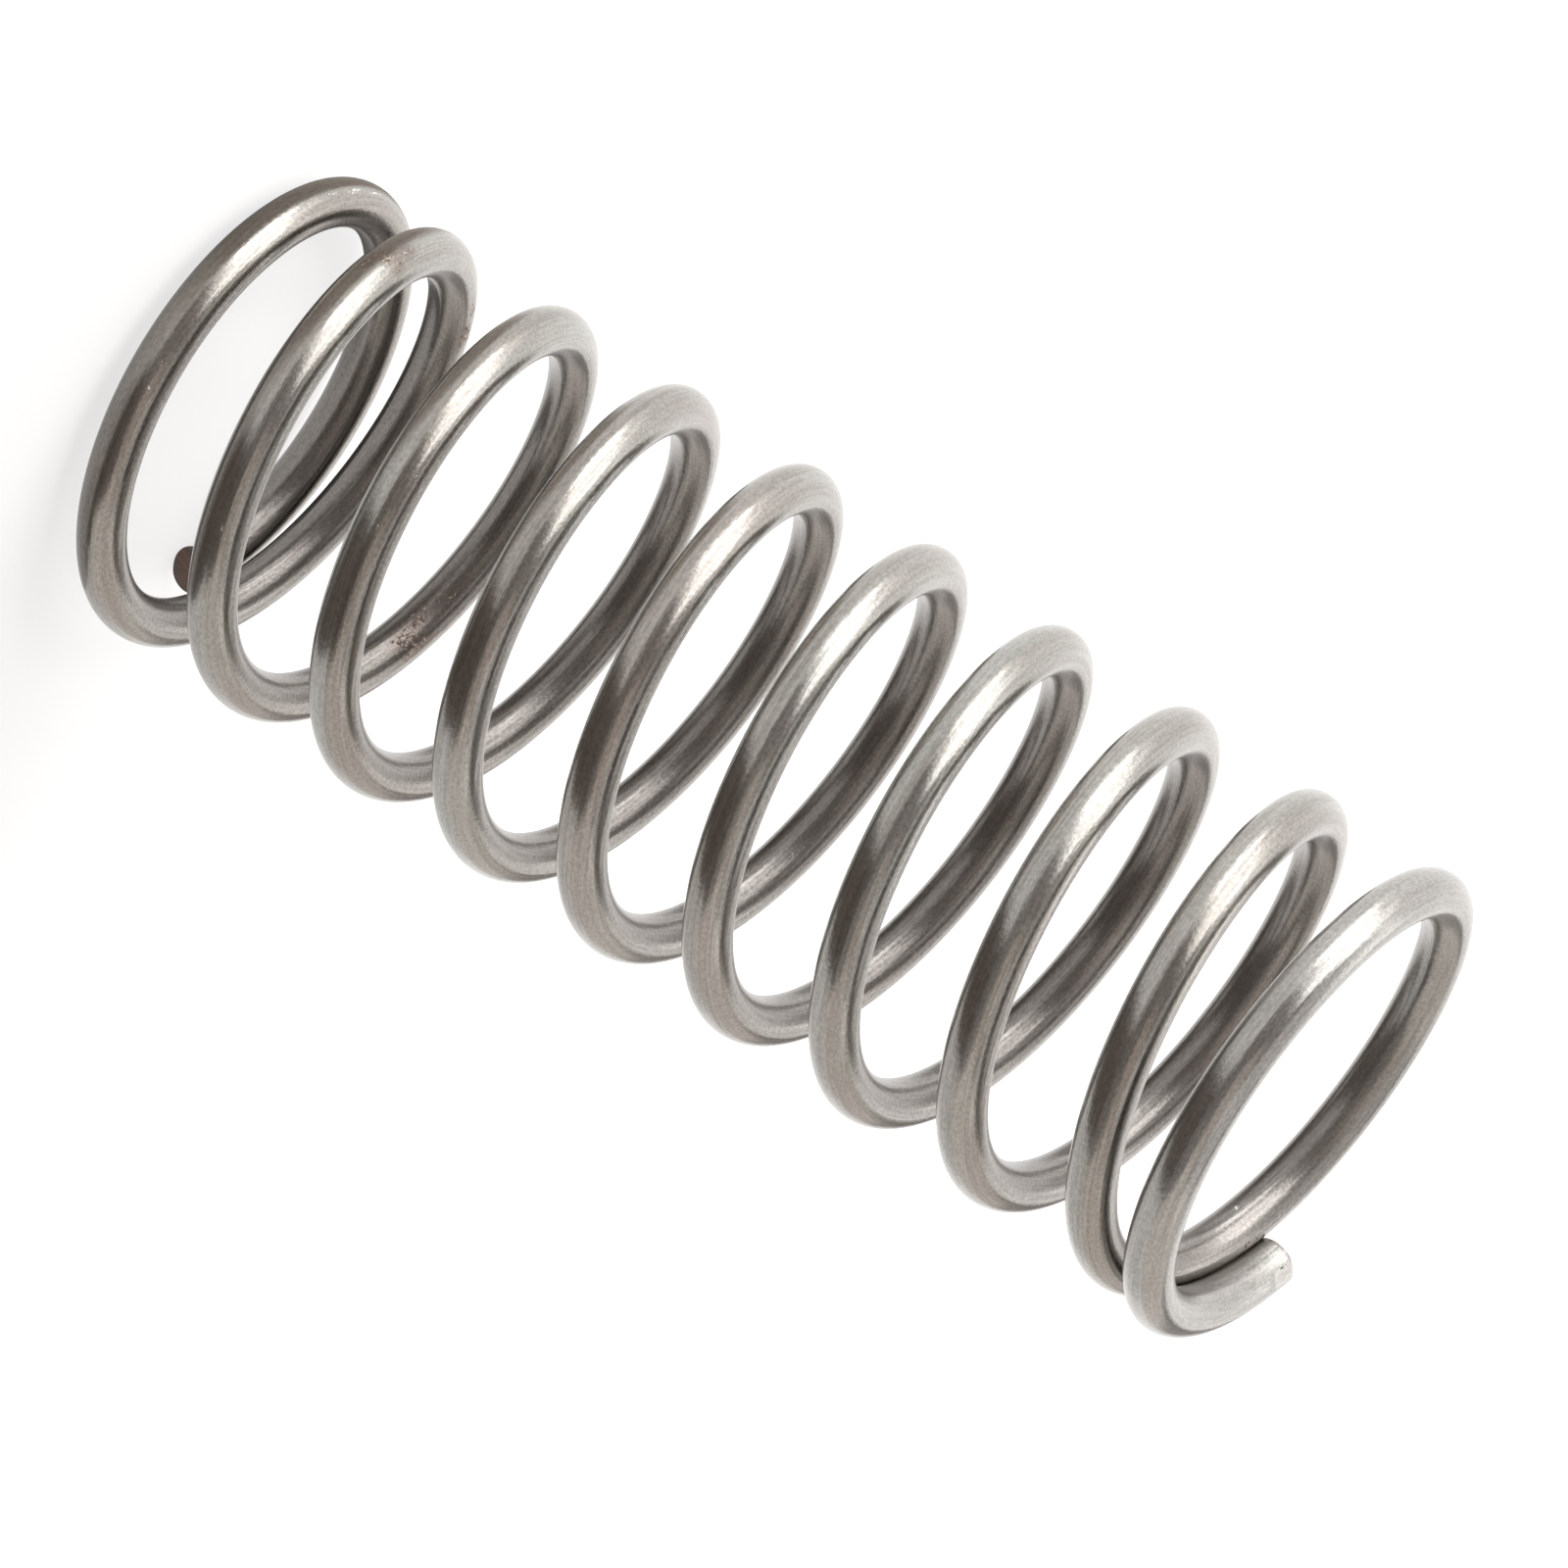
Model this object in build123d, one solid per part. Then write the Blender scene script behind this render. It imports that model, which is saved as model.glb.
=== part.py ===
from build123d import *
import os
from math import cos, pi, sin, sqrt, tau

# A small right-hand compression spring, cold coiled in one piece from round steel wire.
# Both ends are closed and left unground: the wire closes down onto the turn beside it,
# and each tip is a square shear cut with its full round face.
# Millimetres. +Z is the coil's axis, z = 0 is the surface that the spring stands on,
# and the lower tip lies on +X.

# Driving dimensions
WIRE_DIAMETER = 1.2
MEAN_DIAMETER = 11.2
PITCH = 3.715
TOTAL_TURNS = 10.042

# The closed ends, each counted in turns from its own tip: the wire holds the closed pitch
# up to ramp_from, then opens smoothly to the full pitch at ramp_to.
LOWER_CLOSED_PITCH = 0.10
LOWER_RAMP_FROM = 0.06
LOWER_RAMP_TO = 1.41
UPPER_CLOSED_PITCH = 0.01
UPPER_RAMP_FROM = 0.41
UPPER_RAMP_TO = 1.01

# The last stretch of wire springs away from its round when it is cut: outwards at the top,
# and a little inwards at the bottom.
LOWER_TAIL_TURNS = 0.16
LOWER_TAIL_OFFSET = -0.30
UPPER_TAIL_TURNS = 0.325
UPPER_TAIL_OFFSET = 0.87

# Each end turn is a little out of square with the axis. A lean is the rise across one mean
# radius, towards +X and towards +Y, and it fades out within about a turn of the tip.
LOWER_LEAN = (-0.02, 0.18)
UPPER_LEAN = (-0.195, 0.165)
LEAN_FULL_TURNS = 0.35
LEAN_FADE_TURNS = 1.03

# The shear leaves a slightly rolled edge round each cut face.
CUT_EDGE_RADIUS = 0.07

# The centre line's points, and the short step that its direction is measured over
POINTS_PER_TURN = 16
DIRECTION_STEP = 1e-4

# The wire near a tip, and the stretch of the turn beside it, in turns from the tip
NEAR_TO = 0.1
BESIDE_FROM = 0.7
BESIDE_TO = 1.3
GAP_STEPS = 60

wire_radius = WIRE_DIAMETER / 2
mean_radius = MEAN_DIAMETER / 2


def eased(t):
    """A smooth step from 0 to 1."""
    t = min(max(t, 0.0), 1.0)
    return t * t * (3 - 2 * t)


def eased_sum(t):
    """The area under the smooth step, from 0 to t."""
    held = min(max(t, 0.0), 1.0)
    return held**3 - held**4 / 2 + max(t - 1.0, 0.0)


def rise_from_tip(turns, closed_pitch, ramp_from, ramp_to):
    """How far the wire has climbed, that many turns from its tip."""
    ramp = ramp_to - ramp_from
    opened = ramp * eased_sum((turns - ramp_from) / ramp)
    return closed_pitch * turns + (PITCH - closed_pitch) * opened


def height(turns):
    """The centre line's height above the lower tip, before the end turns lean."""
    lower = rise_from_tip(turns, LOWER_CLOSED_PITCH, LOWER_RAMP_FROM, LOWER_RAMP_TO)
    upper = rise_from_tip(TOTAL_TURNS - turns, UPPER_CLOSED_PITCH, UPPER_RAMP_FROM, UPPER_RAMP_TO)
    whole_upper = rise_from_tip(TOTAL_TURNS, UPPER_CLOSED_PITCH, UPPER_RAMP_FROM, UPPER_RAMP_TO)
    return lower + whole_upper - upper - PITCH * turns


def tail(turns_from_tip, tail_turns, offset):
    """How far a cut end stands off the coil's mean radius."""
    return offset * max(1 - turns_from_tip / tail_turns, 0.0) ** 2


def lean(x, y, turns_from_tip, slope):
    """The rise of a point on an end turn that leans."""
    fade = eased((LEAN_FADE_TURNS - turns_from_tip) / (LEAN_FADE_TURNS - LEAN_FULL_TURNS))
    return fade * (slope[0] * x + slope[1] * y) / mean_radius


def coil_point(turns):
    """A point of the wire's centre line, that many turns from the lower tip."""
    from_upper = TOTAL_TURNS - turns
    radius = (
        mean_radius
        + tail(turns, LOWER_TAIL_TURNS, LOWER_TAIL_OFFSET)
        + tail(from_upper, UPPER_TAIL_TURNS, UPPER_TAIL_OFFSET)
    )
    x = radius * cos(tau * turns)
    y = radius * sin(tau * turns)
    z = height(turns) + lean(x, y, turns, LOWER_LEAN) + lean(x, y, from_upper, UPPER_LEAN)
    return Vector(x, y, z)


def underside(turns):
    """The lowest point of the round wire at that place."""
    along = (coil_point(turns + DIRECTION_STEP) - coil_point(turns - DIRECTION_STEP)).normalized()
    return coil_point(turns).Z - wire_radius * sqrt(1 - along.Z**2)


def stretch(tip, direction, start, end):
    """Points along the centre line, between two numbers of turns from a tip."""
    turns = [start + (end - start) * i / GAP_STEPS for i in range(GAP_STEPS + 1)]
    return [coil_point(tip + direction * t) for t in turns]


def least_gap(tip, direction):
    """The least clearance between the wire near a tip and the turn beside it."""
    near = stretch(tip, direction, 0, NEAR_TO)
    beside = stretch(tip, direction, BESIDE_FROM, BESIDE_TO)
    return min((a - b).length for a in near for b in beside) - WIRE_DIAMETER


steps = round(TOTAL_TURNS * POINTS_PER_TURN)
places = [TOTAL_TURNS * i / steps for i in range(steps + 1)]
lift = Vector(0, 0, -min(underside(turns) for turns in places))
centre_line = Spline([coil_point(turns) + lift for turns in places])

# The wire: its round section carried along the whole centre line in one sweep
section = Plane(origin=centre_line @ 0, z_dir=centre_line % 0) * Circle(wire_radius)
coil = sweep(section, path=centre_line, is_frenet=True)
cut_edges = coil.faces().filter_by(GeomType.PLANE).edges()
coil_spring = fillet(cut_edges, CUT_EDGE_RADIUS)

wire_length = centre_line.length
box = coil_spring.bounding_box()
print(f"wire length {wire_length:.2f}, free length {box.size.Z:.2f}")
print(f"volume {coil_spring.volume:.3f}, section times length {pi * wire_radius**2 * wire_length:.3f}")
print(f"least gap beside the lower tip {least_gap(0.0, 1):.3f}")
print(f"least gap beside the upper tip {least_gap(TOTAL_TURNS, -1):.3f}")
print(f"valid {coil_spring.is_valid}, solids {len(coil_spring.solids())}, faces {len(coil_spring.faces())}")

os.makedirs("parts", exist_ok=True)
export_step(coil_spring, "parts/coil_spring.step")
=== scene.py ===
from math import atan2, cos, hypot, pi, radians, sin, sqrt, tan, tau

import bmesh
import bpy
from mathutils import Matrix, Vector


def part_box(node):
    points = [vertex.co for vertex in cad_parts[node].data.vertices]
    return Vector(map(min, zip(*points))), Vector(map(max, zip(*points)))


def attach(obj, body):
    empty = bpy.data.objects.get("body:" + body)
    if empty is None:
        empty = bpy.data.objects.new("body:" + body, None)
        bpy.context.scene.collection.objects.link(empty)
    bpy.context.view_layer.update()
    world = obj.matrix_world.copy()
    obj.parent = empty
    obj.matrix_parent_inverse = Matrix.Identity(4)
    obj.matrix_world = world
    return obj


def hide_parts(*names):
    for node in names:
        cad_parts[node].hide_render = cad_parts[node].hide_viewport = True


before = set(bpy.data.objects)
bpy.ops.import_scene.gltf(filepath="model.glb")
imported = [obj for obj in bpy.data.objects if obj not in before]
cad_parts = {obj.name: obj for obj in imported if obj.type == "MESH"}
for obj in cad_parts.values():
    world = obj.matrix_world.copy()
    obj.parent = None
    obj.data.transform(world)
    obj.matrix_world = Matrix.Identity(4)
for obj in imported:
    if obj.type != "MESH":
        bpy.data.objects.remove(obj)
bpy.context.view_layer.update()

bl_info = {
    "name": "Small Compression Spring",
    "version": (1, 0, 0),
    "blender": (4, 5, 0),
    "location": "3D View > Sidebar > Spring",
    "description": "Draws, marks and coils the wire of a small compression spring, and sets up its stage",
    "category": "Add Mesh",
}

MM = 0.001

# The closed ends, each counted in turns from its own tip: the wire holds the closed pitch
# up to ramp_from, then opens smoothly to the full pitch at ramp_to. The upper end closes a
# few hundredths of a millimetre further than the part's source, as the photo shows no gap.
LOWER_CLOSED_PITCH = 0.10 * MM
LOWER_RAMP_FROM = 0.06
LOWER_RAMP_TO = 1.41
UPPER_CLOSED_PITCH = -0.03 * MM
UPPER_RAMP_FROM = 0.41
UPPER_RAMP_TO = 1.01

# The last stretch of wire springs away from its round when it is cut: outwards at the top,
# and a little inwards at the bottom.
LOWER_TAIL_TURNS = 0.16
LOWER_TAIL_OFFSET = -0.30 * MM
UPPER_TAIL_TURNS = 0.325
UPPER_TAIL_OFFSET = 0.835 * MM

# Each end turn is a little out of square with the axis. A lean is the rise across one mean
# radius, towards +X and towards +Y, and it fades out within about a turn of the tip.
LOWER_LEAN = (-0.02 * MM, 0.18 * MM)
UPPER_LEAN = (-0.195 * MM, 0.165 * MM)
LEAN_FULL_TURNS = 0.35
LEAN_FADE_TURNS = 1.03

# The wire's mesh: its sides, the rounds of cuts that divide its length, and its cut faces'
# rounded edges and rims. An edge runs along the wire where at least that share of it does.
WIRE_SIDES = 48
CUT_ROUNDS = 2
LENGTH_CUTS = 43
CUT_EDGE_STEPS = 3
CUT_FACE_RIM = 0.02 * MM
ALONG_SHARE = 0.9
GUIDE_POINTS_PER_TURN = 360
SMOOTH_ANGLE = 40
ROUND_SIDES = 64

# A side of the wire is an angle round it: 0 faces the coil's axis, 90 the upper end and
# 180 the outside. The blade leaves the lower end a little slanted, back on one side, with a
# shallow hollow in its underside just behind the cut. It also presses a small shallow flat onto
# one side of the upper end, whose last few millimetres are swollen a little. Faces near a tip
# that point along the wire more than CUT_FACE_SLOPE get the cut face's finish.
SLANTED_SIDE = -31
SLANTED_BY = 10
SLANTED_FROM = -0.12 * MM
HOLLOW_SIDE = -61
HOLLOW_MIDDLE = 0.55 * MM
HOLLOW_HALF_LENGTH = 0.12 * MM
HOLLOW_ABOVE = 0.35 * MM
HOLLOW_DEPTH = 0.15 * MM
HOLLOW_REACH = 0.50 * MM
PINCHED_SIDE = 68
PINCHED_TILT = 1
PINCHED_DEPTH = 0.030 * MM
PINCHED_LENGTH = 0.65 * MM
SWOLLEN_BY = 1.04
SWOLLEN_REACH = 3.2 * MM
CUT_FACE_SLOPE = 0.75
PLANE_THRESHOLD = 1e-7

# Patterns on the wire: how long they are along it and how wide round it. Real die lines and
# grain are finer, and are drawn as coarse as they need to show.
STREAK_SIZE = (16 * MM, 0.22 * MM)
PATCH_SIZE = (8 * MM, 1.2 * MM)
LONG_LINE_SIZE = (7 * MM, 0.07 * MM)
SHORT_LINE_SIZE = (1.1 * MM, 0.045 * MM)
GRAIN_SIZE = (0.10 * MM, 0.07 * MM)
FLAKE_SIZE = (0.13 * MM, 0.09 * MM)
SPECK_SIZE = (0.07 * MM, 0.055 * MM)
TEAR_SIZE = (0.35 * MM, 0.07 * MM)
BLOTCH_SIZE = 0.5 * MM
DIE_LINE_DEPTH = 0.0035 * MM
RUST_DEPTH = 0.008 * MM

# Where a pattern starts to show in its noise, and where it shows in full
STREAKS_SHOW = (0.40, 0.66)
PATCHES_SHOW = (0.35, 0.65)
LINES_SHOW = (0.36, 0.64)
BLOOM_SHOWS = (0.05, 0.80)
RUST_SHOWS = (0.92, 1.02)
PALE_FLAKES_SHOW = (0.46, 0.60)
CHIPS_SHOW = (0.98, 1.10)
DENTS_SHOW = (1.02, 1.14)
BLOTCHES_SHOW = (0.42, 0.58)

# How much a pattern counts, and how far lines and tears darken and brighten the colour
BLOOM_STRENGTH = 0.60
GRAIN_STRENGTH = 0.16
RUST_SPREAD = 0.55
NICK_SPREAD = 0.8
LINES_FROM_TO = (0.40, 0.92)
LINES_SHADE = (0.82, 1.16)
TEARS_FROM_TO = (0.3, 0.7)
TEARS_SHADE = (0.82, 1.12)

# Rust and chips are hardly metallic, and rougher than the steel round them by this much. The
# cut faces are matt under their rust.
WORN_METALLIC = 0.15
WORN_ROUGHER_BY = 0.35
CUT_METALLIC = 0.35
CUT_ROUGHNESS = 0.6

# A Mix node's two colour inputs, by number, because its other inputs have the same names
MIX_A = 6
MIX_B = 7

# The wear on the wire: what it is, its middle in millimetres along the wire and in degrees
# round it, half its length and half its width in millimetres, and how strong it is there
WEAR = (
    # On the sides that the photo shows
    ("rust", 45.10, 86, 0.80, 0.34, 0.95),
    ("rust", 46.00, 97, 0.90, 0.20, 0.85),
    ("rust", 52.00, 154, 0.45, 0.30, 0.85),
    ("rust", 52.50, 166, 0.50, 0.38, 0.95),
    ("rust", 52.55, 138, 0.40, 0.26, 0.80),
    ("rust", 52.95, 196, 0.60, 0.22, 0.75),
    ("rust", 72.35, 34, 0.80, 0.52, 0.85),
    ("rust", 72.60, 70, 0.85, 0.24, 1.00),
    ("rust", 72.95, 18, 0.95, 0.48, 0.80),
    ("rust", 73.90, 30, 1.60, 0.55, 0.55),
    ("rust", 355.20, 76, 0.60, 0.30, 0.35),
    ("rust", 355.50, 44, 0.25, 0.16, 0.50),
    ("chip", 12.95, 69, 0.26, 0.12, 1.00),
    ("chip", 13.00, 141, 0.24, 0.09, 0.80),
    ("chip", 13.36, 147, 0.26, 0.08, 0.90),
    ("chip", 13.52, 75, 0.22, 0.11, 1.00),
    ("chip", 13.54, 164, 0.24, 0.10, 1.00),
    ("chip", 51.12, -169, 0.22, 0.09, 0.90),
    ("chip", 318.99, 79, 0.22, 0.11, 1.00),
    ("chip", 319.31, 84, 0.30, 0.09, 0.80),
    ("chip", 355.15, 50, 0.40, 0.07, 0.85),
    ("dent", 14.50, 142, 0.60, 0.09, 0.80),
    ("dent", 15.40, 147, 0.60, 0.09, 0.85),
    ("dent", 16.30, 154, 0.60, 0.09, 0.80),
    ("dent", 22.45, 153, 0.26, 0.08, 0.85),
    ("dent", 23.05, 147, 0.26, 0.08, 0.80),
    ("dent", 23.35, 136, 0.26, 0.08, 0.80),
    ("dent", 60.13, 158, 0.22, 0.10, 1.00),
    ("dent", 92.18, 135, 0.20, 0.08, 0.90),
    ("dent", 93.63, 156, 0.20, 0.08, 0.90),
    ("dent", 319.29, -11, 0.20, 0.09, 1.00),
    # On the far side of the coil
    ("rust", 76.10, 176, 1.10, 0.42, 0.85),
    ("rust", 143.40, 202, 0.80, 0.36, 0.80),
    ("rust", 184.10, 168, 1.40, 0.30, 0.75),
    ("rust", 251.30, 190, 0.90, 0.40, 0.90),
    ("rust", 290.30, 158, 1.00, 0.28, 0.80),
    ("chip", 184.80, 181, 0.24, 0.10, 0.90),
    ("chip", 250.10, 172, 0.22, 0.10, 0.90),
    ("dent", 144.60, 187, 0.24, 0.09, 0.90),
)
WEAR_KINDS = ("rust", "chip", "dent")

# From where to where, across the wire towards the coil's axis, the inside's painted shade sets in
INSIDE_FROM_TO = (-0.10 * MM, 0.42 * MM)

# From where to where, along the wire, it gets lighter towards the upper tip
LIGHTER_FROM_TO = (312 * MM, 342 * MM)

# How far the coiled wire's box may differ from the frame's
BOX_TOLERANCE = 0.05 * MM

# The camera, at the photo's viewing angle
CAMERA_AIM = (0.603 * MM, -0.051 * MM, 17.565 * MM)
CAMERA_HEADING = 48.643
CAMERA_DIP = 20.028
CAMERA_ROLL = 123.107
CAMERA_DISTANCE = 274.562 * MM
CAMERA_LENS = 268.68
CAMERA_CLIP = (0.01, 10)

# The dark card's corners on the floor, in the order of a plane's own. Its edge that lies
# further out than CARD_BEND is drawn up, so that the card stands CARD_HEIGHT tall there.
CARD_CORNERS = (
    (-42 * MM, -63 * MM),
    (29 * MM, -61 * MM),
    (-7 * MM, -2 * MM),
    (3 * MM, -3 * MM),
)
CARD_LIFT = 0.3 * MM
CARD_BEND = -30 * MM
CARD_HEIGHT = 32 * MM

# The grey card's middle on the floor and its radius
GREY_CARD = (-8 * MM, 3.5 * MM, 10.5 * MM)

# How the cards fade out: a point on the floor, how far from it the card is clear, and how far
# from it the card is full. The dark card fades towards the spring, and along its left side,
# where the point is so far off that the edge is nearly straight.
DARK_FADES = (
    (0, 0, 4.5 * MM, 9.5 * MM),
    (328 * MM, -229.8 * MM, 402.5 * MM, 399.5 * MM),
)
GREY_FADES = ((-8 * MM, 3.5 * MM, 10.5 * MM, 5.5 * MM),)

# From where to where behind the spring, along Y, the floor glows more, and how much it glows
GLOW_FROM_TO = (-10 * MM, 20 * MM)
FLOOR_GLOW = (0.58, 0.90)

# The soft lamps: the azimuth and elevation that each shines from in degrees, its distance,
# width and height in metres, its brightness, where 1 looks white, and its colour
LAMPS = (
    ("key_softbox", 158, 20, 0.6, 0.46, 0.88, 3.2, "ffffff"),
    ("key_flank_near", 129, 20, 0.6, 0.09, 0.80, 1.1, "ffffff"),
    ("key_flank_far", 187, 20, 0.6, 0.09, 0.80, 1.5, "ffffff"),
    ("low_softbox", 158, 7, 0.12, 0.09, 0.022, 3.3, "ffffff"),
    ("back_panel", 85, 20, 0.8, 1.50, 0.95, 1.12, "ffffff"),
    ("high_panel", 101, 54, 0.8, 0.95, 0.26, 1.15, "ffffff"),
    ("side_panel", -16, 22, 0.8, 1.45, 1.1, 0.75, "f7f2ec"),
    ("tan_panel", -96, 50, 0.8, 0.75, 0.45, 0.42, "fff0e4"),
    ("top_panel", 31, 80, 0.9, 1.0, 0.9, 0.6, "ffffff"),
)


def linear(hex_colour):
    """An sRGB hex colour as linear red, green and blue."""
    parts = [int(hex_colour[i:i + 2], 16) / 255 for i in (0, 2, 4)]
    return tuple(c / 12.92 if c <= 0.04045 else ((c + 0.055) / 1.055) ** 2.4 for c in parts)


class SpringSizes(bpy.types.PropertyGroup):
    """The sizes that the spring is wound to."""

    wire_diameter: bpy.props.FloatProperty(
        name="Wire diameter", description="Diameter of the round wire",
        default=1.2 * MM, min=0.1 * MM, precision=5, subtype="DISTANCE", unit="LENGTH")
    mean_diameter: bpy.props.FloatProperty(
        name="Mean diameter", description="Diameter of the coil, between the middles of the wire",
        default=11.2 * MM, min=1 * MM, precision=5, subtype="DISTANCE", unit="LENGTH")
    pitch: bpy.props.FloatProperty(
        name="Pitch", description="Rise of one open turn",
        default=3.715 * MM, min=0.1 * MM, precision=6, subtype="DISTANCE", unit="LENGTH")
    total_turns: bpy.props.FloatProperty(
        name="Total turns", description="Turns of wire from tip to tip",
        default=10.042, min=3, precision=3)
    cut_edge_radius: bpy.props.FloatProperty(
        name="Cut edge radius", description="Radius that the shear rolls round each cut face",
        default=0.05 * MM, min=0.01 * MM, precision=6, subtype="DISTANCE", unit="LENGTH")


class SpringFinish(bpy.types.PropertyGroup):
    """The colours and finish of the wire."""

    steel_colour: bpy.props.FloatVectorProperty(
        name="Steel", description="Colour of the cleaner drawn steel",
        default=linear("9e9d98"), size=3, min=0, max=1, subtype="COLOR")
    oxide_colour: bpy.props.FloatVectorProperty(
        name="Oxide", description="Colour of the steel under its thin brownish oxide",
        default=linear("928e88"), size=3, min=0, max=1, subtype="COLOR")
    warm_steel_colour: bpy.props.FloatVectorProperty(
        name="Warm steel", description="Colour of the steel where its oxide gives it a warmer cast",
        default=linear("9a9590"), size=3, min=0, max=1, subtype="COLOR")
    # The inside of the coil is drawn darker in this colour: painted shade where the coil shades itself
    inside_shade_colour: bpy.props.FloatVectorProperty(
        name="Inside", description="Colour of the darker oxide on the inside of the coil",
        default=linear("888480"), size=3, min=0, max=1, subtype="COLOR")
    # The upper end turn is drawn in this lighter colour, without the warm patches, the oxide streaks or
    # the inside's painted shade
    upper_end_colour: bpy.props.FloatVectorProperty(
        name="Clean steel", description="Colour of the cleaner steel of the upper end turn",
        default=linear("9f9d99"), size=3, min=0, max=1, subtype="COLOR")
    stain_colour: bpy.props.FloatVectorProperty(
        name="Stain", description="Colour of the brown bloom round the rust",
        default=linear("7b6e68"), size=3, min=0, max=1, subtype="COLOR")
    rust_colour: bpy.props.FloatVectorProperty(
        name="Rust", description="Colour of the darker rust",
        default=linear("5c4a41"), size=3, min=0, max=1, subtype="COLOR")
    flake_colour: bpy.props.FloatVectorProperty(
        name="Rust flakes", description="Colour of the paler rust flakes",
        default=linear("b8ad9e"), size=3, min=0, max=1, subtype="COLOR")
    chip_colour: bpy.props.FloatVectorProperty(
        name="Chips", description="Colour of the dark chips and nicks",
        default=linear("3a322e"), size=3, min=0, max=1, subtype="COLOR")
    dent_colour: bpy.props.FloatVectorProperty(
        name="Dents", description="Colour of the bright steel in fresh dents",
        default=linear("e9e6e0"), size=3, min=0, max=1, subtype="COLOR")
    cut_colour: bpy.props.FloatVectorProperty(
        name="Cut face", description="Colour of the browned cut faces",
        default=linear("6a5b54"), size=3, min=0, max=1, subtype="COLOR")
    cut_rust_colour: bpy.props.FloatVectorProperty(
        name="Cut face rust", description="Colour of the redder rust on the cut faces",
        default=linear("735c53"), size=3, min=0, max=1, subtype="COLOR")
    roughness: bpy.props.FloatProperty(
        name="Roughness", description="Roughness of the drawn surface",
        default=0.23, min=0, max=1, subtype="FACTOR")
    # Roughness of the inside of the coil, whose darker colour is painted shade
    inside_roughness: bpy.props.FloatProperty(
        name="Inside roughness", description="Roughness of the darker oxide on the inside of the coil",
        default=0.27, min=0, max=1, subtype="FACTOR")


class SpringStage(bpy.types.PropertyGroup):
    """The floor, the lamps and the room."""

    floor_colour: bpy.props.FloatVectorProperty(
        name="Floor", description="Colour of the pale floor",
        default=linear("aaaaaa"), size=3, min=0, max=1, subtype="COLOR")
    floor_radius: bpy.props.FloatProperty(
        name="Floor radius", description="Radius of the floor",
        default=1.5, min=0.1, subtype="DISTANCE", unit="LENGTH")
    room_colour: bpy.props.FloatVectorProperty(
        name="Room", description="Colour of the dim room round the stage",
        default=linear("a49e9b"), size=3, min=0, max=1, subtype="COLOR")
    card_colour: bpy.props.FloatVectorProperty(
        name="Dark card", description="Colour of the dark card that the steel mirrors",
        default=linear("706965"), size=3, min=0, max=1, subtype="COLOR")
    grey_card_colour: bpy.props.FloatVectorProperty(
        name="Grey card", description="Colour of the grey card under the spring",
        default=linear("b4aea8"), size=3, min=0, max=1, subtype="COLOR")


def eased(t):
    """A smooth step from 0 to 1."""
    t = min(max(t, 0.0), 1.0)
    return t * t * (3 - 2 * t)


def eased_sum(t):
    """The area under the smooth step, from 0 to t."""
    held = min(max(t, 0.0), 1.0)
    return held**3 - held**4 / 2 + max(t - 1.0, 0.0)


def rise_from_tip(turns, pitch, closed_pitch, ramp_from, ramp_to):
    """How far the wire has climbed, that many turns from its tip."""
    ramp = ramp_to - ramp_from
    opened = ramp * eased_sum((turns - ramp_from) / ramp)
    return closed_pitch * turns + (pitch - closed_pitch) * opened


def height(sizes, turns):
    """The centre line's height above the lower tip, before the end turns lean."""
    lower_end = (LOWER_CLOSED_PITCH, LOWER_RAMP_FROM, LOWER_RAMP_TO)
    upper_end = (UPPER_CLOSED_PITCH, UPPER_RAMP_FROM, UPPER_RAMP_TO)
    lower = rise_from_tip(turns, sizes.pitch, *lower_end)
    upper = rise_from_tip(sizes.total_turns - turns, sizes.pitch, *upper_end)
    whole_upper = rise_from_tip(sizes.total_turns, sizes.pitch, *upper_end)
    return lower + whole_upper - upper - sizes.pitch * turns


def tail(turns_from_tip, tail_turns, offset):
    """How far a cut end stands off the coil's mean radius."""
    return offset * max(1 - turns_from_tip / tail_turns, 0.0) ** 2


def lean(x, y, mean_radius, turns_from_tip, slope):
    """The rise of a point on an end turn that leans."""
    fade = eased((LEAN_FADE_TURNS - turns_from_tip) / (LEAN_FADE_TURNS - LEAN_FULL_TURNS))
    return fade * (slope[0] * x + slope[1] * y) / mean_radius


def coil_point(sizes, turns):
    """A point of the wire's centre line, that many turns from the lower tip."""
    mean_radius = sizes.mean_diameter / 2
    from_upper = sizes.total_turns - turns
    radius = (
        mean_radius
        + tail(turns, LOWER_TAIL_TURNS, LOWER_TAIL_OFFSET)
        + tail(from_upper, UPPER_TAIL_TURNS, UPPER_TAIL_OFFSET)
    )
    x = radius * cos(tau * turns)
    y = radius * sin(tau * turns)
    z = height(sizes, turns)
    z += lean(x, y, mean_radius, turns, LOWER_LEAN)
    z += lean(x, y, mean_radius, from_upper, UPPER_LEAN)
    return Vector((x, y, z))


def centre_line(sizes):
    """The centre line's points, raised so that the wire stands on the floor."""
    steps = round(sizes.total_turns * GUIDE_POINTS_PER_TURN)
    points = [coil_point(sizes, sizes.total_turns * i / steps) for i in range(steps + 1)]
    lowest = 0.0
    for here, after in zip(points, points[1:]):
        along = (after - here).normalized()
        lowest = min(lowest, here.z - sizes.wire_diameter / 2 * sqrt(1 - along.z**2))
    return [point - Vector((0, 0, lowest)) for point in points]


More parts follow.
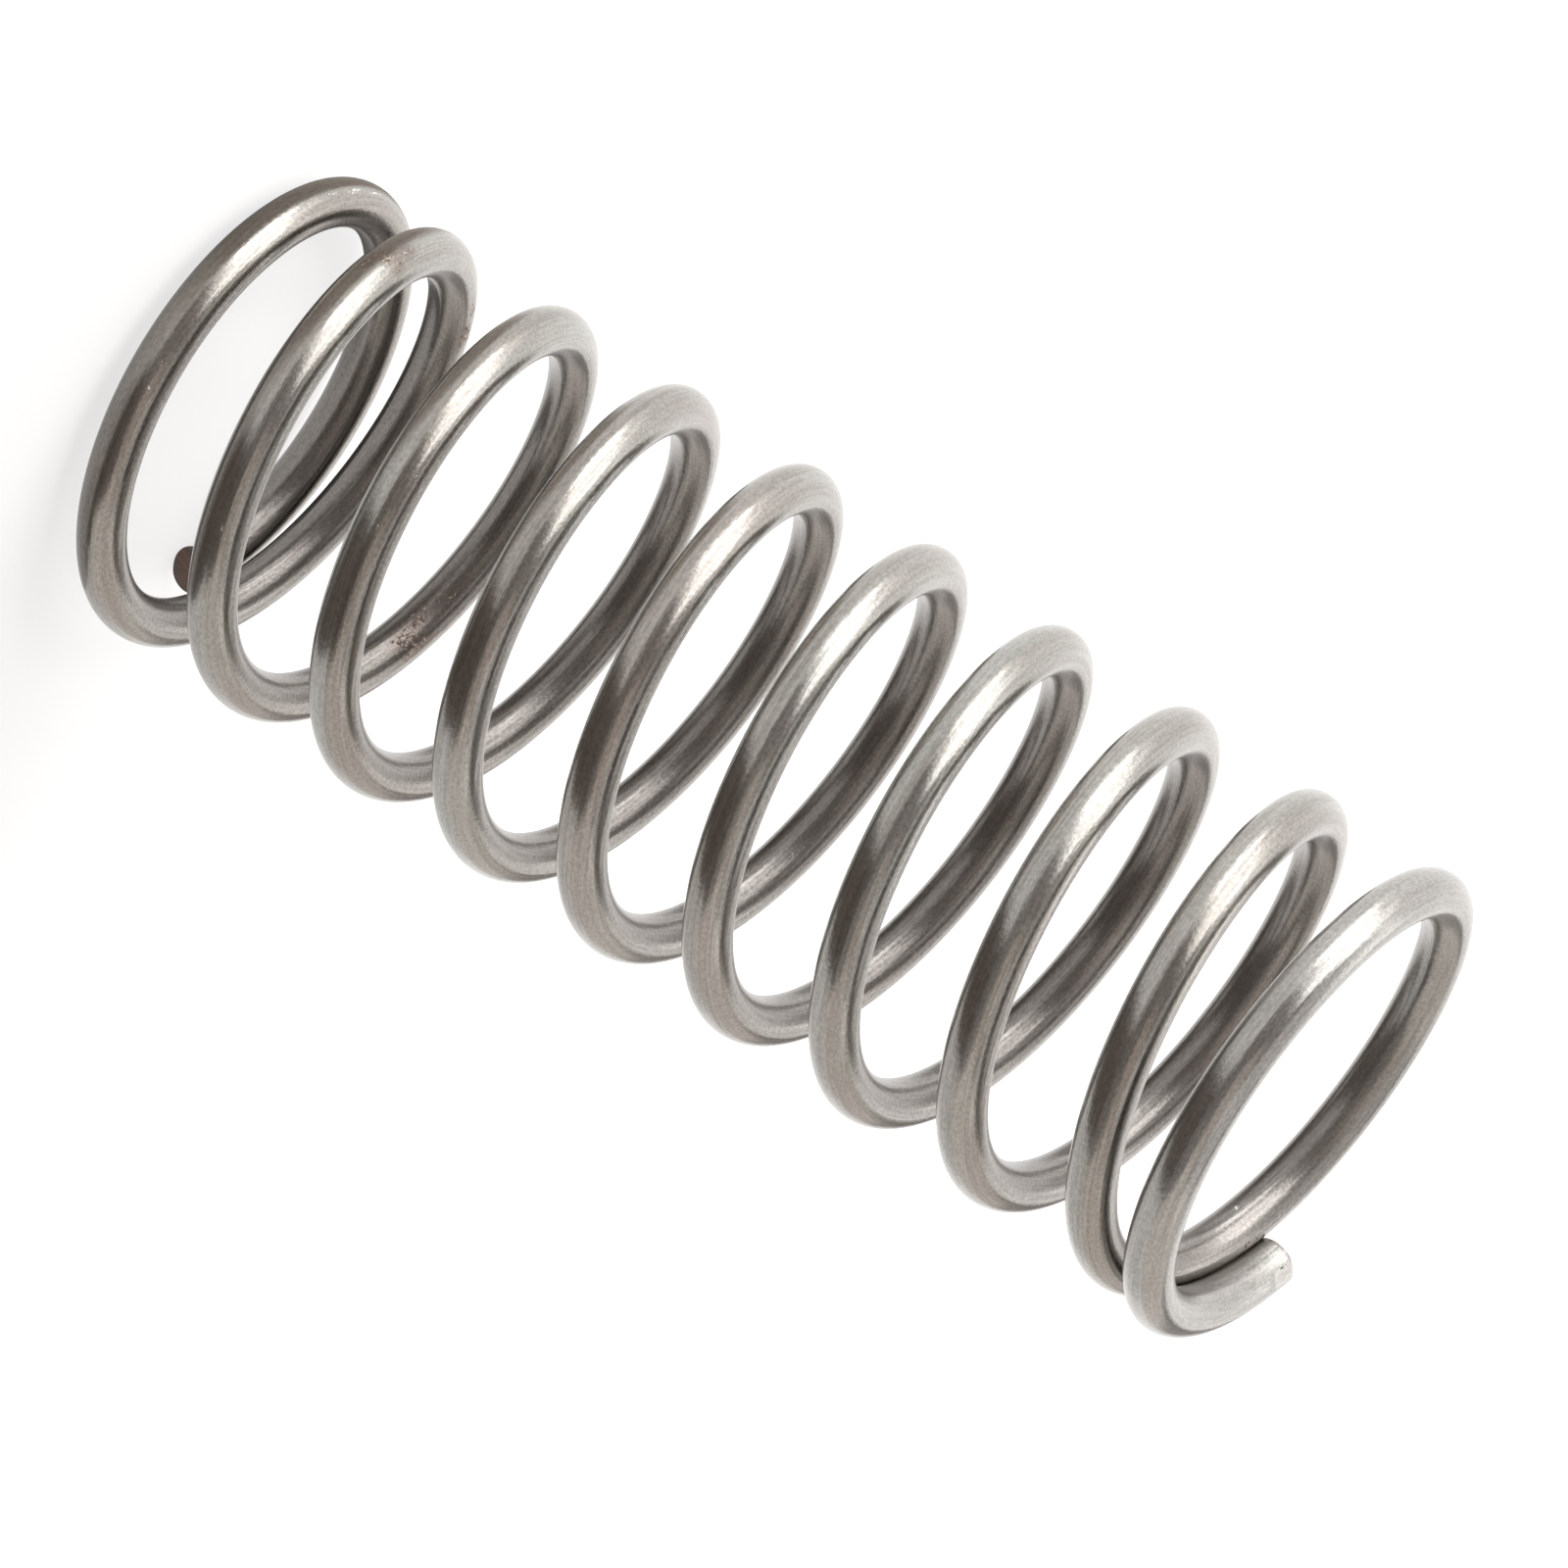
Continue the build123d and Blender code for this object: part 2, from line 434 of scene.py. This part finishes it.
def add_node(tree, kind, inputs=None, **settings):
    """Adds a shader node, sets its properties and fills its inputs.

    An input takes a value, a socket or a node, which is linked from its first output in use.
    """
    node = tree.nodes.new("ShaderNode" + kind)
    for name, value in settings.items():
        setattr(node, name, value)
    for name, value in (inputs or {}).items():
        if isinstance(value, bpy.types.Node):
            value = next(socket for socket in value.outputs if socket.enabled)
        if isinstance(value, bpy.types.NodeSocket):
            tree.links.new(value, node.inputs[name])
        else:
            node.inputs[name].default_value = value
    return node


def new_material(name):
    """An empty node material and its output node."""
    material = bpy.data.materials.new(name)
    material.use_nodes = True
    material.node_tree.nodes.clear()
    return material, add_node(material.node_tree, "OutputMaterial")


def wire_pattern(tree, place, along, across, detail=1.0):
    """Noise with features that long along the wire and that wide round it."""
    stretched = add_node(
        tree, "VectorMath", {0: place, 1: (1 / along, 1 / across, 1 / across)}, operation="MULTIPLY")
    return add_node(tree, "TexNoise", {"Vector": stretched, "Scale": 1.0, "Detail": detail})


def drawn_steel(finish):
    """Cold-drawn carbon steel wire under a thin brownish oxide, with a little rust and wear.

    The die draws fine lines along the wire, so its shine is satin and its highlights are
    grainy. The inside of the coil is drawn darker, as painted shade where the coil shades
    itself. Rust breaks through in small flaky patches, each in a brown bloom.
    """
    material, output = new_material("cold_drawn_steel")
    tree = material.node_tree
    place = add_node(tree, "Attribute", attribute_name="wire_place").outputs["Vector"]
    straight = add_node(tree, "SeparateXYZ", {"Vector": place}).outputs
    wear = add_node(tree, "Attribute", attribute_name="wire_wear").outputs["Vector"]
    wear = add_node(tree, "SeparateXYZ", {"Vector": wear}).outputs

    masks = []
    for value, (start, full) in (
            (wire_pattern(tree, place, *STREAK_SIZE, 2.0), STREAKS_SHOW),
            (wire_pattern(tree, place, *PATCH_SIZE), PATCHES_SHOW),
            (straight["Y"], INSIDE_FROM_TO),
            (straight["X"], LIGHTER_FROM_TO),
            (wire_pattern(tree, place, *LONG_LINE_SIZE), LINES_SHOW),
            (wire_pattern(tree, place, *SHORT_LINE_SIZE), LINES_SHOW)):
        masks.append(add_node(
            tree, "MapRange", {"Value": value, "From Min": start, "From Max": full},
            interpolation_type="SMOOTHSTEP"))
    streaks, patches, inside, lighter, long_lines, short_lines = masks
    # Painted shade on the inside of the coil, left off the lighter upper end turn
    painted_inside_shade = add_node(tree, "Math", {0: inside, 1: lighter}, operation="SUBTRACT", use_clamp=True)
    bloom = add_node(tree, "MapRange", {
        "Value": wear["X"], "From Min": BLOOM_SHOWS[0], "From Max": BLOOM_SHOWS[1],
        "To Max": BLOOM_STRENGTH}, interpolation_type="SMOOTHSTEP")
    colour = add_node(tree, "Mix", {
        "Factor": patches, MIX_A: (*finish.steel_colour, 1), MIX_B: (*finish.warm_steel_colour, 1)},
        data_type="RGBA")
    for share, over in (
            (streaks, finish.oxide_colour),
            (lighter, finish.upper_end_colour),
            (painted_inside_shade, finish.inside_shade_colour),
            (bloom, finish.stain_colour)):
        colour = add_node(
            tree, "Mix", {"Factor": share, MIX_A: colour, MIX_B: (*over, 1)}, data_type="RGBA")

    grain = wire_pattern(tree, place, *GRAIN_SIZE)
    lines = add_node(tree, "Math", {0: long_lines, 1: short_lines}, operation="ADD")
    surface = add_node(
        tree, "Math", {0: lines, 1: GRAIN_STRENGTH, 2: grain}, operation="MULTIPLY_ADD")
    shade = add_node(tree, "MapRange", {
        "Value": surface, "From Min": LINES_FROM_TO[0], "From Max": LINES_FROM_TO[1],
        "To Min": LINES_SHADE[0], "To Max": LINES_SHADE[1]})
    colour = add_node(
        tree, "Mix", {"Factor": 1.0, MIX_A: colour, MIX_B: shade}, data_type="RGBA",
        blend_type="MULTIPLY")

    flakes = wire_pattern(tree, place, *FLAKE_SIZE, 2.0)
    specks = wire_pattern(tree, place, *SPECK_SIZE)
    marks = []
    for cover, spread, noise, (start, full) in (
            (wear["X"], RUST_SPREAD, flakes, RUST_SHOWS),
            (wear["Y"], NICK_SPREAD, specks, CHIPS_SHOW),
            (wear["Z"], NICK_SPREAD, specks, DENTS_SHOW)):
        broken_up = add_node(
            tree, "Math", {0: cover, 1: spread, 2: noise}, operation="MULTIPLY_ADD")
        marks.append(add_node(
            tree, "MapRange", {"Value": broken_up, "From Min": start, "From Max": full},
            interpolation_type="SMOOTHSTEP"))
    rust, chips, dents = marks
    paler = add_node(tree, "MapRange", {
        "Value": specks, "From Min": PALE_FLAKES_SHOW[0], "From Max": PALE_FLAKES_SHOW[1]},
        interpolation_type="SMOOTHSTEP")
    rusty = add_node(tree, "Mix", {
        "Factor": paler, MIX_A: (*finish.rust_colour, 1), MIX_B: (*finish.flake_colour, 1)},
        data_type="RGBA")
    for share, over in (
            (rust, rusty),
            (chips, (*finish.chip_colour, 1)),
            (dents, (*finish.dent_colour, 1))):
        colour = add_node(
            tree, "Mix", {"Factor": share, MIX_A: colour, MIX_B: over}, data_type="RGBA")

    dull = add_node(tree, "Math", {0: rust, 1: chips}, operation="MAXIMUM")
    metallic = add_node(
        tree, "MapRange", {"Value": dull, "To Min": 1.0, "To Max": WORN_METALLIC})
    roughness = add_node(tree, "MapRange", {
        "Value": inside, "To Min": finish.roughness, "To Max": finish.inside_roughness})
    roughness = add_node(
        tree, "Math", {0: dull, 1: WORN_ROUGHER_BY, 2: roughness}, operation="MULTIPLY_ADD")
    fine = add_node(tree, "Bump", {"Height": surface, "Strength": 1.0, "Distance": DIE_LINE_DEPTH})
    flaky = add_node(tree, "Math", {0: rust, 1: specks}, operation="MULTIPLY")
    relief = add_node(
        tree, "Bump", {"Height": flaky, "Strength": 1.0, "Distance": RUST_DEPTH, "Normal": fine})
    steel = add_node(tree, "BsdfPrincipled", {
        "Base Color": colour, "Metallic": metallic, "Roughness": roughness, "Normal": relief})
    tree.links.new(steel.outputs["BSDF"], output.inputs["Surface"])
    return material


def sheared_face(finish):
    """The wire's cut faces: sheared steel gone brown.

    The blade tears fine ridges across the face, so it is matt, and rust sits in them unevenly.
    """
    material, output = new_material("sheared_steel_face")
    tree = material.node_tree
    place = add_node(tree, "Attribute", attribute_name="wire_place").outputs["Vector"]
    along, across = TEAR_SIZE
    stretched = add_node(
        tree, "VectorMath", {0: place, 1: (1 / along, 1 / across, 1 / along)}, operation="MULTIPLY")
    tears = add_node(tree, "TexNoise", {"Vector": stretched, "Scale": 1.0, "Detail": 3.0})
    blotches = add_node(
        tree, "TexNoise", {"Vector": place, "Scale": 1 / BLOTCH_SIZE, "Detail": 2.0})
    rusted = add_node(tree, "MapRange", {
        "Value": blotches, "From Min": BLOTCHES_SHOW[0], "From Max": BLOTCHES_SHOW[1]},
        interpolation_type="SMOOTHSTEP")
    shade = add_node(tree, "MapRange", {
        "Value": tears, "From Min": TEARS_FROM_TO[0], "From Max": TEARS_FROM_TO[1],
        "To Min": TEARS_SHADE[0], "To Max": TEARS_SHADE[1]})
    colour = add_node(tree, "Mix", {
        "Factor": rusted, MIX_A: (*finish.cut_colour, 1), MIX_B: (*finish.cut_rust_colour, 1)},
        data_type="RGBA")
    colour = add_node(
        tree, "Mix", {"Factor": 1.0, MIX_A: colour, MIX_B: shade}, data_type="RGBA",
        blend_type="MULTIPLY")
    relief = add_node(tree, "Bump", {"Height": tears, "Strength": 1.0, "Distance": RUST_DEPTH})
    steel = add_node(tree, "BsdfPrincipled", {
        "Base Color": colour, "Metallic": CUT_METALLIC, "Roughness": CUT_ROUGHNESS,
        "Normal": relief})
    tree.links.new(steel.outputs["BSDF"], output.inputs["Surface"])
    return material


def select_edges(wanted):
    """Selects only the edges of the mesh in edit mode that wanted(edge) is true for."""
    bpy.ops.mesh.select_mode(type="EDGE")
    bpy.ops.mesh.select_all(action="DESELECT")
    mesh = bmesh.from_edit_mesh(bpy.context.object.data)
    for edge in mesh.edges:
        edge.select = wanted(edge)
    mesh.select_flush_mode()
    bmesh.update_edit_mesh(bpy.context.object.data)


def select_faces(wanted):
    """Selects only the faces of the mesh in edit mode that wanted(face) is true for."""
    bpy.ops.mesh.select_mode(type="FACE")
    bpy.ops.mesh.select_all(action="DESELECT")
    mesh = bmesh.from_edit_mesh(bpy.context.object.data)
    for face in mesh.faces:
        face.select = wanted(face)
    mesh.select_flush_mode()
    bmesh.update_edit_mesh(bpy.context.object.data)


def runs_along(edge):
    """Whether an edge of the straight wire lies along it."""
    step = edge.verts[1].co - edge.verts[0].co
    return abs(step.x) > ALONG_SHARE * step.length


def straight_wire(sizes, length):
    """The drawn wire, straight along +X from its lower tip, with its two sheared ends.

    It starts a little before that tip, so that the slant has something to cut off.
    """
    start = 2 * SLANTED_FROM
    bpy.ops.object.select_all(action="DESELECT")
    bpy.ops.mesh.primitive_cylinder_add(
        vertices=WIRE_SIDES, radius=sizes.wire_diameter / 2, depth=length - start,
        end_fill_type="NGON", location=((length + start) / 2, 0, 0), rotation=(0, pi / 2, 0))
    wire = bpy.context.object
    wire.name = "coiled_wire"
    bpy.ops.object.transform_apply(location=True, rotation=True, scale=True)
    bpy.ops.object.mode_set(mode="EDIT")
    slant(sizes)
    for _ in range(CUT_ROUNDS):
        select_edges(runs_along)
        bpy.ops.mesh.subdivide(number_cuts=LENGTH_CUTS)
    select_faces(lambda face: len(face.verts) == WIRE_SIDES)
    bpy.ops.mesh.region_to_loop()
    bpy.ops.mesh.bevel(offset=sizes.cut_edge_radius, segments=CUT_EDGE_STEPS, profile=0.5)
    select_faces(lambda face: len(face.verts) == WIRE_SIDES)
    bpy.ops.mesh.inset(thickness=CUT_FACE_RIM)
    press_hollow()
    swell(length)
    pinch(sizes, length)
    bpy.ops.object.mode_set(mode="OBJECT")
    return wire


def on_side(side):
    """The unit vector towards a side of the straight wire."""
    return Vector((0, cos(radians(side)), sin(radians(side))))


def slant(sizes):
    """Cuts the lower end off at a slant."""
    radius = sizes.wire_diameter / 2
    back = on_side(SLANTED_SIDE)
    lean_back = tan(radians(SLANTED_BY))
    bpy.ops.mesh.select_all(action="SELECT")
    bpy.ops.mesh.bisect(
        plane_co=(SLANTED_FROM + radius * lean_back, 0, 0),
        plane_no=Vector((1, 0, 0)) - back * lean_back,
        use_fill=True, clear_inner=True, threshold=PLANE_THRESHOLD)


def press_hollow():
    """Presses the hollow into the lower end, behind its cut face."""
    side = on_side(HOLLOW_SIDE)
    select_faces(lambda face: (
        abs(face.calc_center_median().x - HOLLOW_MIDDLE) < HOLLOW_HALF_LENGTH
        and face.calc_center_median().dot(side) > HOLLOW_ABOVE))
    bpy.ops.transform.translate(
        value=-HOLLOW_DEPTH * side, use_proportional_edit=True, proportional_edit_falloff="SMOOTH",
        proportional_size=HOLLOW_REACH)


def swell(length):
    """Swells the upper end a little, where the blade squeezed it."""
    select_faces(lambda face: face.calc_center_median().x > length - SWOLLEN_REACH / 2)
    bpy.ops.transform.resize(
        value=(1, SWOLLEN_BY, SWOLLEN_BY), center_override=(length, 0, 0),
        use_proportional_edit=True, proportional_edit_falloff="SMOOTH",
        proportional_size=SWOLLEN_REACH)


def pinch(sizes, length):
    """Presses the small flat onto one side of the upper end, with a crisp edge round it."""
    side = on_side(PINCHED_SIDE)
    along = Vector((1, 0, 0))
    normal = along * sin(radians(PINCHED_TILT)) + side * cos(radians(PINCHED_TILT))
    middle = along * length + side * (sizes.wire_diameter / 2 - PINCHED_DEPTH)
    select_faces(lambda face: face.calc_center_median().x > length - PINCHED_LENGTH)
    bpy.ops.mesh.bisect(plane_co=middle, plane_no=normal, threshold=PLANE_THRESHOLD)
    select_faces(lambda face: (
        face.calc_center_median().x > length - PINCHED_LENGTH
        and (face.calc_center_median() - middle).dot(normal) > 0))
    level = normal.cross(along).normalized()
    bpy.ops.transform.resize(
        value=(1, 1, 0), orient_type="GLOBAL", orient_matrix=(level.cross(normal), level, normal),
        orient_matrix_type="GLOBAL", center_override=middle)
    bpy.ops.mesh.region_to_loop()
    bpy.ops.mesh.mark_sharp()


def mark_places(wire):
    """Keeps each point's place on the straight wire, for patterns that follow it round the coil."""
    mesh = wire.data
    places = mesh.attributes.new("wire_place", "FLOAT_VECTOR", "POINT")
    for vertex, place in zip(mesh.vertices, places.data):
        place.vector = vertex.co


def mark_wear(sizes, wire):
    """Marks how far rust, chips and dents cover each point, for the finish to break up."""
    points = [vertex.co.copy() for vertex in wire.data.vertices]
    covers = [[0.0] * len(WEAR_KINDS) for _ in points]
    for kind, along, side, half_length, half_width, strength in WEAR:
        which = WEAR_KINDS.index(kind)
        for point, cover in zip(points, covers):
            forward = (point.x / MM - along) / half_length
            if abs(forward) < 1:
                turned = (atan2(point.z, point.y) - radians(side) + pi) % tau - pi
                round_it = turned * sizes.wire_diameter / 2 / MM / half_width
                cover[which] = max(cover[which], strength * (1 - hypot(forward, round_it) ** 2))
    wear = wire.data.attributes.new("wire_wear", "FLOAT_VECTOR", "POINT")
    for cover, value in zip(covers, wear.data):
        value.vector = cover


def coil_round(wire, points):
    """Bends the straight wire round the coil's centre line."""
    curve = bpy.data.curves.new("centre_line", "CURVE")
    curve.dimensions = "3D"
    curve.twist_mode = "Z_UP"
    spline = curve.splines.new("POLY")
    spline.points.add(len(points) - 1)
    for spline_point, point in zip(spline.points, points):
        spline_point.co = (*point, 1)
    guide = bpy.data.objects.new("centre_line", curve)
    bpy.context.collection.objects.link(guide)
    bend = wire.modifiers.new("coil", "CURVE")
    bend.object = guide
    bend.deform_axis = "POS_X"
    bpy.ops.object.modifier_apply(modifier=bend.name)
    bpy.data.objects.remove(guide)
    bpy.data.curves.remove(curve)


def finish_faces(wire, sizes, length, finish):
    """Gives the wire its drawn finish, and its two cut faces their own."""
    wire.data.materials.append(drawn_steel(finish))
    wire.data.materials.append(sheared_face(finish))
    radius = sizes.wire_diameter / 2
    for face in wire.data.polygons:
        at_end = not radius < face.center.x < length - radius
        if at_end and abs(face.normal.x) > CUT_FACE_SLOPE:
            face.material_index = 1


def check_box(wire):
    """Stops the script if the coiled wire's box isn't the box of the frame's own coil."""
    low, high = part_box("coil_spring")
    corners = [vertex.co for vertex in wire.data.vertices]
    for axis in range(3):
        short = min(corner[axis] for corner in corners) - low[axis]
        over = max(corner[axis] for corner in corners) - high[axis]
        if max(abs(short), abs(over)) > BOX_TOLERANCE:
            raise RuntimeError(f"the wire's box differs from the frame's by {short} and {over}")


class SPRING_OT_coil_wire(bpy.types.Operator):
    """Draws the wire straight, shears its ends, coils it and gives it its finish"""

    bl_idname = "spring.coil_wire"
    bl_label = "Coil the Wire"
    bl_options = {"REGISTER", "UNDO"}

    def execute(self, context):
        sizes = context.scene.spring_sizes
        points = centre_line(sizes)
        length = sum((after - here).length for here, after in zip(points, points[1:]))
        wire = straight_wire(sizes, length)
        mark_places(wire)
        mark_wear(sizes, wire)
        finish_faces(wire, sizes, length, context.scene.spring_finish)
        coil_round(wire, points)
        bpy.ops.object.shade_smooth_by_angle(angle=radians(SMOOTH_ANGLE))
        check_box(wire)
        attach(wire, "root")
        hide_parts("coil_spring")
        return {"FINISHED"}


def floor_finish(stage):
    """A pale matt floor that takes the spring's shadow, and glows where it is seen or mirrored."""
    material, output = new_material("pale_matt_floor")
    tree = material.node_tree
    matt = add_node(tree, "BsdfDiffuse", {"Color": (*stage.floor_colour, 1)})
    path = add_node(tree, "LightPath").outputs
    seen = add_node(
        tree, "Math", {0: path["Is Camera Ray"], 1: path["Is Glossy Ray"]}, operation="MAXIMUM")
    seen = add_node(
        tree, "Math", {0: seen, 1: path["Is Transmission Ray"]}, operation="MAXIMUM")
    place = add_node(tree, "TexCoord").outputs["Object"]
    where = add_node(tree, "SeparateXYZ", {"Vector": place}).outputs["Y"]
    glow = add_node(tree, "MapRange", {
        "Value": where, "From Min": GLOW_FROM_TO[0], "From Max": GLOW_FROM_TO[1],
        "To Min": FLOOR_GLOW[0], "To Max": FLOOR_GLOW[1]}, interpolation_type="SMOOTHSTEP")
    glow = add_node(tree, "Math", {0: seen, 1: glow}, operation="MULTIPLY")
    light = add_node(tree, "Emission", {"Color": (1, 1, 1, 1), "Strength": glow})
    both = add_node(tree, "AddShader", {0: matt, 1: light})
    tree.links.new(both.outputs[0], output.inputs["Surface"])
    return material


def lay_floor(stage):
    """The round floor that the spring stands on."""
    bpy.ops.object.select_all(action="DESELECT")
    bpy.ops.mesh.primitive_circle_add(
        vertices=ROUND_SIDES, radius=stage.floor_radius, fill_type="NGON")
    floor = bpy.context.object
    floor.name = "floor"
    floor.data.materials.append(floor_finish(stage))
    return floor


def direction(azimuth, elevation):
    """The unit vector towards an azimuth from +X and an elevation, in degrees."""
    a, e = radians(azimuth), radians(elevation)
    return Vector((cos(e) * cos(a), cos(e) * sin(a), sin(e)))


def panel_light(name, azimuth, elevation, distance, width, tall, brightness, colour):
    """A soft rectangular lamp that faces the spring."""
    lamp = bpy.data.lights.new(name, "AREA")
    lamp.shape = "RECTANGLE"
    lamp.size = width
    lamp.size_y = tall
    lamp.energy = brightness * pi * width * tall
    lamp.color = linear(colour)
    panel = bpy.data.objects.new(name, lamp)
    bpy.context.collection.objects.link(panel)
    panel.location = direction(azimuth, elevation) * distance
    panel.rotation_euler = (-panel.location).to_track_quat("-Z", "Y").to_euler()
    panel.visible_camera = False


def matt_card(name, colour, fades):
    """The finish of a matt card that the steel mirrors, with soft edges."""
    material, output = new_material(name)
    tree = material.node_tree
    matt = add_node(tree, "BsdfDiffuse", {"Color": (*colour, 1)})
    place = add_node(tree, "TexCoord").outputs["Object"]
    flat = add_node(tree, "VectorMath", {0: place, 1: (1, 1, 0)}, operation="MULTIPLY")
    shown = 1.0
    for x, y, clear, full in fades:
        away = add_node(tree, "VectorMath", {0: flat, 1: (x, y, 0)}, operation="DISTANCE")
        nearer = add_node(tree, "MapRange", {"Value": away, "From Min": clear, "From Max": full})
        shown = add_node(tree, "Math", {0: shown, 1: nearer}, operation="MULTIPLY")
    both = add_node(tree, "MixShader", {0: shown, 1: add_node(tree, "BsdfTransparent"), 2: matt})
    tree.links.new(both.outputs[0], output.inputs["Surface"])
    return material


def show_in_mirrors(card):
    """Lets only mirrored rays see a card."""
    card.visible_camera = False
    card.visible_diffuse = False
    card.visible_shadow = False


def dark_card(stage):
    """A bent dark card beside the spring, which gives the shiny wire its dark edges."""
    bpy.ops.object.select_all(action="DESELECT")
    bpy.ops.mesh.primitive_plane_add(size=1, location=(0, 0, CARD_LIFT))
    card = bpy.context.object
    card.name = "dark_card"
    for vertex, (x, y) in zip(card.data.vertices, CARD_CORNERS):
        vertex.co = (x, y, 0)
    bpy.ops.object.mode_set(mode="EDIT")
    select_edges(lambda edge: all(v.co.y < CARD_BEND for v in edge.verts))
    bpy.ops.mesh.extrude_region_move(TRANSFORM_OT_translate={"value": (0, 0, CARD_HEIGHT)})
    bpy.ops.object.mode_set(mode="OBJECT")
    bpy.ops.object.transform_apply(location=True, rotation=True, scale=True)
    card.data.materials.append(matt_card("dark_matt_card", stage.card_colour, DARK_FADES))
    show_in_mirrors(card)
    return card


def grey_card(stage):
    """A round grey card under the spring, which darkens the undersides of the wire."""
    x, y, radius = GREY_CARD
    bpy.ops.object.select_all(action="DESELECT")
    bpy.ops.mesh.primitive_circle_add(
        vertices=ROUND_SIDES, radius=radius, fill_type="NGON", location=(x, y, CARD_LIFT / 2))
    card = bpy.context.object
    card.name = "grey_card"
    bpy.ops.object.transform_apply(location=True, rotation=True, scale=True)
    card.data.materials.append(matt_card("grey_matt_card", stage.grey_card_colour, GREY_FADES))
    show_in_mirrors(card)
    return card


def dim_room(stage):
    """The even, dim light of the room round the stage."""
    world = bpy.data.worlds.new("dim_room")
    world.use_nodes = True
    tree = world.node_tree
    tree.nodes.clear()
    room = add_node(tree, "Background", {"Color": (*stage.room_colour, 1), "Strength": 1.0})
    output = add_node(tree, "OutputWorld")
    tree.links.new(room.outputs[0], output.inputs["Surface"])
    return world


def photo_camera():
    """The camera at the photo's viewing angle, rolled so that the spring lies aslant."""
    camera = bpy.data.cameras.new("camera")
    camera.lens = CAMERA_LENS
    camera.clip_start, camera.clip_end = CAMERA_CLIP
    eye = bpy.data.objects.new("camera", camera)
    bpy.context.collection.objects.link(eye)
    forward = direction(CAMERA_HEADING, -CAMERA_DIP)
    level_right = forward.cross(Vector((0, 0, 1))).normalized()
    level_up = level_right.cross(forward)
    roll = radians(CAMERA_ROLL)
    right = level_right * cos(roll) + level_up * sin(roll)
    up = right.cross(forward)
    turn = Matrix((right, up, -forward)).transposed().to_4x4()
    place = Vector(CAMERA_AIM) - forward * CAMERA_DISTANCE
    eye.matrix_world = Matrix.Translation(place) @ turn
    return eye


class SPRING_OT_set_stage(bpy.types.Operator):
    """Lays the pale floor, and sets the soft lamps and the camera"""

    bl_idname = "spring.set_stage"
    bl_label = "Set the Stage"
    bl_options = {"REGISTER", "UNDO"}

    def execute(self, context):
        stage = context.scene.spring_stage
        lay_floor(stage)
        dark_card(stage)
        grey_card(stage)
        for lamp in LAMPS:
            panel_light(*lamp)
        context.scene.world = dim_room(stage)
        context.scene.camera = photo_camera()
        context.scene.view_settings.view_transform = "Standard"
        return {"FINISHED"}


class SPRING_PT_panel(bpy.types.Panel):
    """The spring's sizes, finish and stage"""

    bl_idname = "SPRING_PT_panel"
    bl_label = "Compression Spring"
    bl_space_type = "VIEW_3D"
    bl_region_type = "UI"
    bl_category = "Spring"

    def draw(self, context):
        for group in GROUPS:
            column = self.layout.column(align=True)
            column.label(text=group)
            for name in getattr(context.scene, group).bl_rna.properties.keys():
                if name not in ("rna_type", "name"):
                    column.prop(getattr(context.scene, group), name)
        self.layout.operator(SPRING_OT_coil_wire.bl_idname)
        self.layout.operator(SPRING_OT_set_stage.bl_idname)


GROUPS = {"spring_sizes": SpringSizes, "spring_finish": SpringFinish, "spring_stage": SpringStage}
CLASSES = (*GROUPS.values(), SPRING_OT_coil_wire, SPRING_OT_set_stage, SPRING_PT_panel)


def register():
    """Registers the classes, and gives the scene its sizes, finish and stage."""
    for each in CLASSES:
        bpy.utils.register_class(each)
    for name, group in GROUPS.items():
        setattr(bpy.types.Scene, name, bpy.props.PointerProperty(type=group))


def unregister():
    """Takes away what register adds."""
    for name in GROUPS:
        delattr(bpy.types.Scene, name)
    for each in reversed(CLASSES):
        bpy.utils.unregister_class(each)


def main():
    """Makes the spring and its stage."""
    register()
    bpy.ops.spring.coil_wire()
    bpy.ops.spring.set_stage()


if __name__ == "__main__":
    main()
